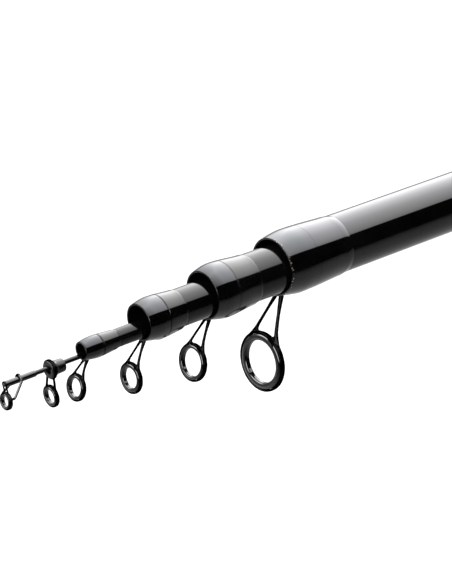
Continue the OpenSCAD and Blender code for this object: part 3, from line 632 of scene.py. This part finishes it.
def ceramic_shape(d, hole):
    """Ring with a rounded lip that slopes back to the frame."""
    inner, crest = hole / 2, hole / 2 + CERAMIC_CREST * (d - hole) / 2
    middle, bulge = CERAMIC_LAND / 2, (insert_w(d) - CERAMIC_LAND) / 2
    slope = (d / 2 - crest) / math.cos(math.radians(CERAMIC_FOOT))
    lip = bow(crest, middle, crest - inner, bulge, 180, 90, 10)
    lip += bow(crest, middle, slope, bulge, 90, CERAMIC_FOOT, 12)[1:]
    return revolve(lip + [(r, -x) for r, x in reversed(lip)], RING_SIDES)


def frame_ring_shape(d):
    """Ring round the ceramic, with a rounded outside."""
    w, wall = insert_w(d), FRAME_THIN * wall_of(d)
    inner, crest, edge = d / 2 + GLUE, FRAME_CREST * wall, FRAME_INSIDE * w
    outside = bow(inner + crest, 0, wall - GLUE - crest, FRAME_HALF * w, 90, -90, 20)
    return revolve([(inner, edge), *outside, (inner, -edge)], RING_SIDES)


def rim_point(r, lean, side, angle):
    """Point on a leaning circle, so many degrees from its top to one side."""
    a, tilt = math.radians(angle), math.radians(lean)
    across, up = side * math.sin(a), math.cos(a)
    return r * np.array([-math.sin(tilt) * up, across, math.cos(tilt) * up])


def tilted(centre, lean):
    """The place of a ring that leans back by so many degrees."""
    return Matrix.Translation(centre) @ Matrix.Rotation(-math.radians(lean), 4, "Y")


def guide_frame_shape(k):
    """Frame ring on two legs that leave the collar's underside, webbed where they land."""
    d, lean = RING_D[k], LEAN[k]
    centre = np.array([AHEAD[k], 0, -DROP[k]])
    leg_r = (LEG_D + LEG_GROWTH * d) / 2
    root_x, root_half = ROOT_AHEAD[k] - foot_front(k), LEG_APART * leg_r
    yoke_x, under = root_x + YOKE_AHEAD, -swell(k, foot_front(k)) - YOKE_UNDER - ROOT_DROP[k]
    yoke = [[yoke_x, y, under if y else under + YOKE_BOW] for y in (-root_half, 0, root_half)]
    shapes = [moved(frame_ring_shape(d), tilted(centre, lean)), sweep(yoke, leg_r, (1, 0, 0))]
    for side in (-1, 1):
        root = np.array([root_x, side * root_half, -(seat_r(k) + GLUE + leg_r / 2)])
        landing = centre + rim_point(d / 2 + 2 * GLUE + leg_r, lean, side, FLANK)
        pull_in = np.array([FORWARD, side * (BOW * d - INWARD), 0])
        leg = bezier(root, landing + RUN_IN * (root - landing) + pull_in, landing)
        thick = leg_r * np.interp(np.linspace(0, 1, len(leg)), LEG_AT, LEG_THICK)
        shapes.append(sweep(leg, thick, (1, -side, 0), LEG_FLAT))
        up_leg = (root - landing) / np.linalg.norm(root - landing)
        for turn, rise, pull in WEBS:
            end = centre + rim_point(d / 2 + 0.5 * wall_of(d), lean, side, FLANK + turn)
            start = landing + rise * d * up_leg
            corner = (1 - pull) * (start + end) / 2 + pull * landing
            web = bezier(start, corner, end, WEB_STEPS)
            shapes.append(sweep(web, leg_r * np.linspace(*WEB_THICK, len(web))))
    return fused(joined(*shapes), voxel=0.13 + 0.003 * d, passes=16)


for k, name in enumerate(NAMES):
    body = name + "_section"
    at = tilted((AHEAD[k], 0, -DROP[k]), LEAN[k])
    piece(name + " guide frame", guide_frame_shape(k), PLACE[k], name + "_guide_frame", body,
          FRAME, NO_CREASE)
    piece(name + " guide ring", moved(ceramic_shape(RING_D[k], HOLE_D[k]), at), PLACE[k],
          name + "_guide_ring", body, CERAMIC)

# Solid tip and tip-top
TIP_LEN, TUBE_BED = length(TIP), 14.0  # the tip, and its share inside the tip-top's tube
TOP_TUBE_R, NECK, NECK_R, NOSE = 1.3, 0.15, 0.75, 1.0  # that tube and its stepped nose
TOP_D, TOP_HOLE, TOP_DROP, TOP_LEAN = 6.0, 4.4, 7.4, 6.0  # the ring
LOOP_R, LOOP_FLANK = 0.34, 20  # front wire, and where it lands on the ring
WIRE_R, BRACE_BACK, BRACE_FLANK, BRACE_KNEE = 0.52, 6.4, 60, (-1.6, 3.7, 2.2)  # rear wire
KNEE_BEND, SHOULDER_BEND = 0.7, 1.2


def tip_top_tube_shape():
    """Tube glued on the tip, with a stepped nose for the front loop."""
    bed = outer(TIP, TUBE_BED) + GLUE
    line = [(bed, -TUBE_BED), (TOP_TUBE_R, -TUBE_BED), (TOP_TUBE_R, NECK), (NECK_R, NECK),
            (NECK_R, NOSE), (0, NOSE), (0, GLUE), (bed, GLUE)]
    return revolve(rounded(line, [0, 0.2, 0.12, 0.05, 0.25, 0, 0, 0]), TIP_SIDES)


def saddle(x, hub, wire, angle, knee=None):
    """Wire from the ring over the tip's tube and down the other side, with a bend at knee."""
    r = hub + wire + GLUE
    centre = np.array([0, 0, -TOP_DROP])
    legs = []
    for side in (1, -1):
        leg = [centre + rim_point((TOP_D + wall_of(TOP_D)) / 2, TOP_LEAN, side, angle)]
        if knee:
            leg.append(centre + np.array([knee[0], side * knee[1], knee[2]]))
        legs.append(leg)
    over = [(x, r * math.cos(a), r * math.sin(a)) for a in np.linspace(0, math.pi, 25)]
    line = [*legs[0], *over, *reversed(legs[1])]
    bends, shoulder = [0] * len(line), len(legs[0])
    bends[shoulder] = bends[-1 - shoulder] = SHOULDER_BEND
    if knee:
        bends[1] = bends[-2] = KNEE_BEND
    return sweep(rounded(line, bends, closed=False), wire, (1, 0.2, 0.3), sides=WIRE_SIDES)


tip = [(0, -HAIR), (TUBE_R[TIP], -HAIR), (outer(TIP, TIP_LEN), -TIP_LEN), (0, -TIP_LEN)]
piece("tip rod", revolve(rounded(tip, [0, 0.1, 0.3, 0]), TIP_SIDES), PLACE[TIP], "tip_blank",
      "tip_section", BLANKS[3])
piece("tip top tube", tip_top_tube_shape(), PLACE[TIP], "tip_top_tube", "tip_section",
      LACQUER)
at = tilted((0, 0, -TOP_DROP), TOP_LEAN)
loop = saddle(NECK + LOOP_R + GLUE, NECK_R, LOOP_R, LOOP_FLANK)
brace = saddle(-BRACE_BACK, TOP_TUBE_R, WIRE_R, BRACE_FLANK, BRACE_KNEE)
top_ring = moved(frame_ring_shape(TOP_D), at)
top_frame = fused(joined(top_ring, loop, brace), voxel=0.07, passes=6)
piece("tip top frame", top_frame, PLACE[TIP], "tip_top_frame", "tip_section",
      TIP_FRAME, NO_CREASE)
piece("tip top ring", moved(ceramic_shape(TOP_D, TOP_HOLE), at), PLACE[TIP], "tip_top_ring",
      "tip_section", CERAMIC)

# Floating guide
FLOAT_BACK, FLOAT_LEN, FLOAT_BORE, BARREL_R, BARREL_START = 20.1, 7.2, 1.9, 2.9, 3.4
FLANGE_R, FLANGE_T, FLANGE_STEP = 3.6, 2.0, 0.35
FLOAT_D, FLOAT_HOLE, FLOAT_DROP, FLOAT_FLANK = 8.0, 5.8, 12.0, 42
BAND_MID, BAND_HALF, BAND_T = 1.2, 0.6, 0.45
STEM_R, STEM_HALF, STEM_IN = 0.5, 2.1, 0.05  # the frame's two stems, and how deep they root


def float_sleeve_shape():
    """Sleeve with a flange in front, a fine step behind it and a slimmer barrel."""
    step = -FLANGE_T - FLANGE_STEP
    line = [(FLOAT_BORE, 0), (FLANGE_R, 0), (FLANGE_R, -FLANGE_T),
            (FLANGE_R - FLANGE_STEP, -FLANGE_T), (FLANGE_R - FLANGE_STEP, step),
            (FLANGE_R - 0.1, step), (BARREL_R, -BARREL_START), (BARREL_R - 0.15, -FLOAT_LEN),
            (FLOAT_BORE, -FLOAT_LEN)]
    edges = [0.3, 0.45, 0.05, 0.02, 0.02, 0.15, 0.5, 0.6, 0.3]
    return revolve(rounded(line, edges), SMALL_SIDES)


def float_frame_shape(centre):
    """Band round the flange, with two short stems down to the frame ring."""
    inner = FLANGE_R + GLUE
    front, rear = BAND_HALF - BAND_MID, -BAND_HALF - BAND_MID
    band = [(inner, rear), (inner + BAND_T, rear), (inner + BAND_T, front), (inner, front)]
    shapes = [revolve(rounded(band, 0.18), SMALL_SIDES)]
    shapes.append(moved(frame_ring_shape(FLOAT_D), Matrix.Translation(centre)))
    depth = math.sqrt((inner + BAND_T / 2) ** 2 - STEM_HALF ** 2)
    for side in (-1, 1):
        head = np.array([-BAND_MID, side * STEM_HALF, STEM_IN - depth])
        end = centre + rim_point((FLOAT_D + wall_of(FLOAT_D)) / 2, 0, side, FLOAT_FLANK)
        shapes.append(sweep(bezier(head, (head + end) / 2, end, 8), STEM_R))
    return fused(joined(*shapes), voxel=0.1, passes=5)


hang = FLOAT_BORE - outer(TIP, FLOAT_BACK + FLOAT_LEN) - LIE
float_place = PLACE[TIP] @ Matrix.Translation((-FLOAT_BACK, 0, -hang))
ring_at = np.array([-BAND_MID, 0, -FLOAT_DROP])
piece("float guide sleeve", float_sleeve_shape(), float_place, "float_guide_sleeve", "float_guide",
      SLEEVE)
piece("float guide frame", float_frame_shape(ring_at), float_place, "float_guide_frame",
      "float_guide", FRAME, NO_CREASE)
piece("float guide ring", moved(ceramic_shape(FLOAT_D, FLOAT_HOLE), Matrix.Translation(ring_at)),
      float_place, "float_guide_ring", "float_guide", CERAMIC)

# Handle: grips, winding checks and reel seat
GRIP_R, GRIP_LEN, GRIP_REAR, GRIP_EDGE = 15.8, 262.0, -2.0, 1.5
GROOVES, GROOVE_PITCH, GROOVE_DEPTH = 5, 8.0, 0.8
FORE_LEN, FORE_EDGE, WAIST = 66.0, 0.7, 15.3
CHECK_T, CHECK_EDGE, CHECK_LINE = 3.2, 1.1, 0.25
SEAT_LEN, SEAT_R, DECK_CUT, SEAT_CHAMFER = 126.0, 16.4, 0.8, 1.0
SEAT_PITCH, SEAT_THREAD, THREAD_FROM, THREAD_TO = 2.0, 0.5, 3.0, 62.0
HOOD_LEN, HOOD_START = 25.0, 27.0
KEY_W, KEY_H, SLIDE = 4.0, 1.0, 0.3
rear_check_x = GRIP_LEN + GLUE
seat_x = rear_check_x + CHECK_T + GLUE
seat_end = seat_x + SEAT_LEN
fore_x = seat_end + GLUE
fore_end = fore_x + FORE_LEN
fore_check_x = fore_end + GLUE


def blank_at(x):
    """Radius of what is glued on the butt tube, inside."""
    return outer(0, mouth_x(0) - x) + GLUE


def grip_r(x):
    """Radius of the rear grip, with a soft dip at each finger groove."""
    r = GRIP_R
    for i in range(1, GROOVES + 1):
        off = abs(x - (GRIP_LEN - i * GROOVE_PITCH)) / (2 * GROOVE_DEPTH)
        if off < 1:
            r -= GROOVE_DEPTH * (1 + math.cos(math.pi * off)) / 2
    return r


def grip_shape(skin, x0, x1, edge):
    """Sleeve on the butt tube under a skin of (radius, x) points, with rounded ends."""
    line = [(blank_at(x0), x0), *skin, (blank_at(x1), x1)]
    return revolve(rounded(line, [0.2, edge] + [0] * (len(skin) - 2) + [edge, 0.2]))


def rear_grip_shape():
    """Long grip with finger grooves near its front."""
    first = GRIP_LEN - (GROOVES + 0.5) * GROOVE_PITCH
    skin = [(GRIP_R, GRIP_REAR), (GRIP_R, GRIP_REAR + 8)]
    skin += [(grip_r(x), x) for x in np.linspace(first, GRIP_LEN - 4, 110)]
    return grip_shape(skin + [(GRIP_R, GRIP_LEN)], GRIP_REAR, GRIP_LEN, GRIP_EDGE)


def fore_grip_shape():
    """Grip with a waist between the seat and the front check."""
    rear_r, front_r = SEAT_R - 0.2, blank_at(fore_end) + CHECK_T - 0.6
    dip = WAIST - (rear_r + front_r) / 2
    skin = [(rear_r + (front_r - rear_r) * u + dip * math.sin(math.pi * u), fore_x + FORE_LEN * u)
            for u in np.linspace(0, 1, 41)]
    return grip_shape(skin, fore_x, fore_end, FORE_EDGE)


def check_shape(x, r):
    """Turned ring with a fine line round its middle."""
    mid, inside = x + CHECK_T / 2, blank_at(x)
    line = [(inside, x), (r, x), (r, mid - 0.3), (r - CHECK_LINE, mid), (r, mid + 0.3),
            (r, x + CHECK_T), (inside, x + CHECK_T)]
    return revolve(rounded(line, [0.1, CHECK_EDGE, 0.05, 0.05, 0.05, CHECK_EDGE, 0.1]))


def pipe_shape():
    """Reel seat's pipe: thread behind, keyway on top, flat deck below."""
    start, end = seat_x + THREAD_FROM, seat_x + THREAD_TO
    key = math.degrees(math.asin((KEY_W / 2 + SLIDE) / SEAT_R))
    deck = (seat_x + HOOD_START, seat_end - HOOD_LEN)
    key_end = seat_end - HOOD_LEN - 1
    ends = [x + e for x in (*deck, key_end) for e in (-HAIR, HAIR)]
    ends += [seat_x, seat_x + 0.3, seat_x + 1, seat_end - 1, seat_end - 0.3, seat_end]
    thread = np.arange(start - 0.5, end + 0.5, SEAT_PITCH / 10)
    xs = sorted({*ends, *thread, *np.arange(end + 2, seat_end - 2, 4.0)})
    walls = (-key - 0.1, -key, key, key + 0.1)
    turn = np.array(sorted({*np.linspace(-180, 180, 180, endpoint=False), *walls}))
    across = np.radians(turn)

    def row(x, r):
        return np.stack([np.full(len(turn), x), r * np.sin(across), r * np.cos(across)], 1)

    rows = []
    for x in xs:
        chamfer = max(0.0, SEAT_CHAMFER - (x - seat_x), SEAT_CHAMFER - (seat_end - x))
        r = np.full(len(turn), SEAT_R - chamfer)
        if start < x < end:
            fade = min(1.0, (x - start) / SEAT_PITCH, (end - x) / SEAT_PITCH)
            flank = np.abs(2 * (((x - seat_x) / SEAT_PITCH - turn / 360) % 1) - 1)
            r -= SEAT_THREAD * fade * np.clip(1.4 * flank - 0.2, 0, 1)
        if x < key_end:
            floor_r = (SEAT_R - KEY_H - SLIDE) / np.cos(across)
            r = np.where(np.abs(turn) <= key, np.minimum(r, floor_r), r)
        if deck[0] < x < deck[1]:
            down = np.cos(math.pi - np.abs(across))
            deck_r = (SEAT_R - DECK_CUT) / np.maximum(down, 0.5)
            r = np.where(down > 0.5, np.minimum(r, deck_r), r)
        rows.append(row(x, r))
    rows += [row(x, blank_at(x)) for x in (seat_end, seat_x)]
    n = len(turn)
    faces = bridge([list(range(i * n, i * n + n)) for i in range(len(rows))], True)
    return np.concatenate(rows), faces


piece("rear grip", rear_grip_shape(), HERE, "rear_grip", "butt_section", GRIP)
piece("fore grip", fore_grip_shape(), HERE, "fore_grip", "butt_section", GRIP)
piece("rear check", check_shape(rear_check_x, GRIP_R + 0.4), HERE, "rear_winding_check",
      "butt_section", CHECK)
piece("fore check", check_shape(fore_check_x, blank_at(fore_check_x) + CHECK_T), HERE,
      "fore_winding_check", "butt_section", CHECK)
piece("seat pipe", pipe_shape(), HERE, "reel_seat_pipe", "butt_section", SEAT,
      crease=30)
for node, body in (("fixed_hood", "butt_section"), ("moving_hood", "moving_hood"),
                   ("lock_nut", "lock_nut")):
    shell = fused(cad_shape(node), voxel=0.3, passes=4)
    piece(node + " shell", shell, HERE, node, body, SEAT, NO_CREASE)

# Butt end: ferrule, screw cap with its seal and rubber pad, and the pad that the sections rest on
FERRULE_X, FERRULE_R, FERRULE_EDGE, FERRULE_LINES = -38.0, 15.6, 0.8, (5, 7)
THREAD_R, PLUG_R = outer(1, length(1)) + 0.35, outer(1, length(1)) + 0.05
HEAD_X, SEAL_R = -45.3, 0.8
PAD_T, PAD_IN, PAD_SUNK, PAD_RIBS, RIB_H = 4.5, 2.24, 2.0, (3.0, 6.0, 9.0), 0.4
SHOCK_X, SHOCK_T = -26.0, 9.0


def ferrule_shape():
    """Ferrule on the tube's end, with two fine lines turned into it."""
    front, rest = GRIP_REAR - GLUE, -BUTT_BEHIND - GLUE
    line = [(THREAD_R, FERRULE_X), (FERRULE_R, FERRULE_X)]
    for x in FERRULE_LINES:
        for off, depth in ((-0.3, 0), (0, 0.3), (0.3, 0)):
            line.append((FERRULE_R - depth, FERRULE_X + x + off))
    line += [(FERRULE_R, front), (blank_at(front), front), (blank_at(-BUTT_BEHIND), rest),
             (THREAD_R, rest)]
    return revolve(rounded(line, [0.2, FERRULE_EDGE] + [0.05] * 6 + [FERRULE_EDGE, 0.1, 0, 0]))


def butt_pad_shape():
    """Rubber pad with round ribs on its rear face."""
    r_out, face = FERRULE_R - PAD_IN, HEAD_X + PAD_SUNK
    rear = face - PAD_T
    valley = rear + RIB_H
    line = [(0, valley)]
    for r in PAD_RIBS:
        line += [(r, valley), (r + 0.4, rear), (r + 1.6, rear), (r + 2.0, valley)]
    line += [(r_out, rear + 0.3), (r_out, face), (0, face)]
    return revolve(rounded(line, [0] + [0.15] * 12 + [1.2, 0.1, 0]), SMALL_SIDES)


seal = bow((FERRULE_R + PLUG_R) / 2, FERRULE_X - GLUE - SEAL_R, SEAL_R, SEAL_R, 0, 360, 20)[:-1]
shock_r, shock_end = PLUG_R - 0.1, SHOCK_X + SHOCK_T
shock = [(0, SHOCK_X), (shock_r, SHOCK_X), (shock_r, shock_end), (0, shock_end)]
piece("ferrule", ferrule_shape(), HERE, "butt_ferrule", "butt_section", CHECK)
piece("cap shell", fused(cad_shape("butt_cap"), voxel=0.25, passes=4), HERE, "butt_cap",
      "butt_cap", CHECK, NO_CREASE)
piece("seal ring", revolve(seal, SMALL_SIDES), HERE, "cap_seal", "cap_seal", PAD)
piece("butt pad", butt_pad_shape(), HERE, "butt_pad", "butt_cap", PAD)
piece("shock pad", revolve(rounded(shock, [0, 0.3, 1.0, 0]), SMALL_SIDES), HERE, "shock_pad",
      "butt_cap", PAD)

# Camera, placed as the photo was taken
AZIMUTH, ELEVATION, ROLL = (math.radians(a) for a in (138.935, 25.909, 0.625))
DISTANCE, TARGET = 793.8, Vector((mouth_x(0) + 25.98, 0, -3.8))
FOCAL_PX, PHOTO_PX, SENSOR = 1889.4, 584, 36  # focal length and photo's height in pixels


def place_camera():
    """Camera on a straight line from the target, turned by the roll."""
    back = Vector((math.sin(AZIMUTH) * math.cos(ELEVATION),
                   -math.cos(AZIMUTH) * math.cos(ELEVATION), math.sin(ELEVATION)))
    level = Vector((0, 0, 1)).cross(back).normalized()
    upright = back.cross(level)
    right = math.cos(ROLL) * level + math.sin(ROLL) * upright
    up = -math.sin(ROLL) * level + math.cos(ROLL) * upright
    eye = (TARGET + DISTANCE * back) * MM
    cam = bpy.data.cameras.new("camera")
    cam.lens = FOCAL_PX * SENSOR / PHOTO_PX
    cam.sensor_width = SENSOR
    cam.clip_start, cam.clip_end = 0.01, 50
    camera = bpy.data.objects.new("camera", cam)
    camera.matrix_world = Matrix((*zip(right, up, back, eye), (0, 0, 0, 1)))
    bpy.context.collection.objects.link(camera)
    bpy.context.scene.camera = camera


place_camera()

# Studio: a long soft light on the handle's side with a clean front edge, an arch of light over the
# rod, black in front, and a white floor
SOFTBOX_LIGHT, ARCH_LIGHT, SOFTBOX_BLUE = 5.3, 9.0, 1.02
SOFTBOX = [(45, 0.0), (46, 0.30), (53, 0.385), (60, 0.45), (76, 0.56), (92, 0.675), (109, 0.84),
           (130, 0.955), (145, 1.0), (156, 0.97), (165, 0.85), (173, 0.62), (177, 0.32), (180, 0.2)]
REACH = [(-1.0, 1.0), (-0.25, 1.0), (0.02, 0.35), (0.3, 0.14), (1.0, 0.14)]
LAG_FROM, LAG = 100.0, 0.006  # the softbox reaches less far forward round the rod's far side
ARCH_AXIS, ARCH_ANGLE = (0.898, -0.353, -0.259), 63.7
ARCH_EDGE, ARCH_RISE, ARCH_END = (0.13, 0.2), (0.1, 0.25), (-0.9, -0.78)  # where it fades
FLOOR_Z, FLOOR_X, FLOOR_Y = -0.25, (-5, 6), (-6, 1.3)
FLOOR_GREY, FLOOR_SEEN = (0.8, 0.8, 0.8, 1), (0.535, 0.535, 0.527, 1)
POOL_Y, POOL_WIDTH, POOL_LIGHT = -0.32, 0.33, 0.75
NEAR_STRIP, FAR_STRIP = (0.4, 1.25, 0.22, 0.0), (-1.6, -0.8, 0.7, 0.0)  # y to y, light to light
DIM_AHEAD = (0.8, 1.15, 1.0, 0.4)  # the same along x, as a share


def build_world():
    """White for the camera; the softbox and the arch light the rod and stand in its gloss."""
    world = bpy.data.worlds.new("studio")
    world.use_nodes = True
    w = Nodes(world.node_tree)
    toward = w.add("ShaderNodeTexCoord").outputs["Generated"]
    x, y, z = w.split(toward)
    around = w.math("MULTIPLY", w.math("ARCTAN2", z, y), 180 / math.pi)
    lag = w.math("MULTIPLY", w.math("MAXIMUM", w.math("SUBTRACT", around, LAG_FROM), 0.0), LAG)
    reach = w.ramp(w.math("ADD", x, lag), REACH, -1.0, 1.0)
    softbox = w.add("ShaderNodeBackground",
                    Color=w.ramp(around, SOFTBOX, -180.0, 180.0, SOFTBOX_BLUE),
                    Strength=w.math("MULTIPLY", reach, SOFTBOX_LIGHT))
    cosine = w.add("ShaderNodeVectorMath", operation="DOT_PRODUCT")
    w.set(cosine.inputs[0], toward)
    w.set(cosine.inputs[1], ARCH_AXIS)
    arch_cosine = math.cos(math.radians(ARCH_ANGLE))
    off = w.math("ABSOLUTE", w.math("SUBTRACT", cosine.outputs["Value"], arch_cosine))
    arch = w.math("MULTIPLY", w.remap(off, *ARCH_EDGE, 1.0, 0.0), w.remap(z, *ARCH_RISE))
    arch = w.math("MULTIPLY", arch, w.remap(y, *ARCH_END))
    overhead = w.add("ShaderNodeBackground", Strength=w.math("MULTIPLY", arch, ARCH_LIGHT))
    both = w.add("ShaderNodeAddShader")
    for socket, light in zip(both.inputs, (softbox, overhead)):
        w.set(socket, light.outputs[0])
    white = w.add("ShaderNodeBackground", Color=(1, 1, 1, 1), Strength=1.0)
    seen = w.add("ShaderNodeLightPath").outputs["Is Camera Ray"]
    w.add("ShaderNodeOutputWorld", Surface=w.pick(seen, both.outputs[0], white.outputs[0]))
    bpy.context.scene.world = world


def floor_material():
    """White floor that keeps the shadow; in the gloss it shows a pool of light and two strips."""
    m = bpy.data.materials.new("floor")
    m.use_nodes = True
    f = Nodes(m.node_tree)
    x, y, _ = f.split(f.add("ShaderNodeTexCoord").outputs["Object"])
    off = f.math("DIVIDE", f.math("SUBTRACT", y, POOL_Y), POOL_WIDTH)
    bell = f.math("EXPONENT", f.math("MULTIPLY", f.math("MULTIPLY", off, off), -1.0))
    pool = f.math("MULTIPLY", bell, POOL_LIGHT)
    near, far = f.remap(y, *NEAR_STRIP), f.remap(y, *FAR_STRIP)
    light = f.math("ADD", f.math("ADD", pool, near), far)
    light = f.math("MULTIPLY", light, f.remap(x, *DIM_AHEAD))
    glow = f.add("ShaderNodeEmission", Strength=light)
    path = f.add("ShaderNodeLightPath").outputs
    color = f.mix(path["Is Camera Ray"], FLOOR_GREY, FLOOR_SEEN)
    plain = f.add("ShaderNodeBsdfDiffuse", Color=color)
    surface = f.pick(path["Is Glossy Ray"], plain.outputs[0], glow.outputs[0])
    f.add("ShaderNodeOutputMaterial", Surface=surface)
    return m


bpy.context.scene.view_settings.view_transform = "Standard"
build_world()
corners = [(FLOOR_X[i], FLOOR_Y[j], FLOOR_Z) for i, j in ((0, 0), (1, 0), (1, 1), (0, 1))]
me = bpy.data.meshes.new("floor")
me.from_pydata(corners, [], [(0, 1, 2, 3)])
me.materials.append(floor_material())
floor = bpy.data.objects.new("floor", me)
bpy.context.collection.objects.link(floor)
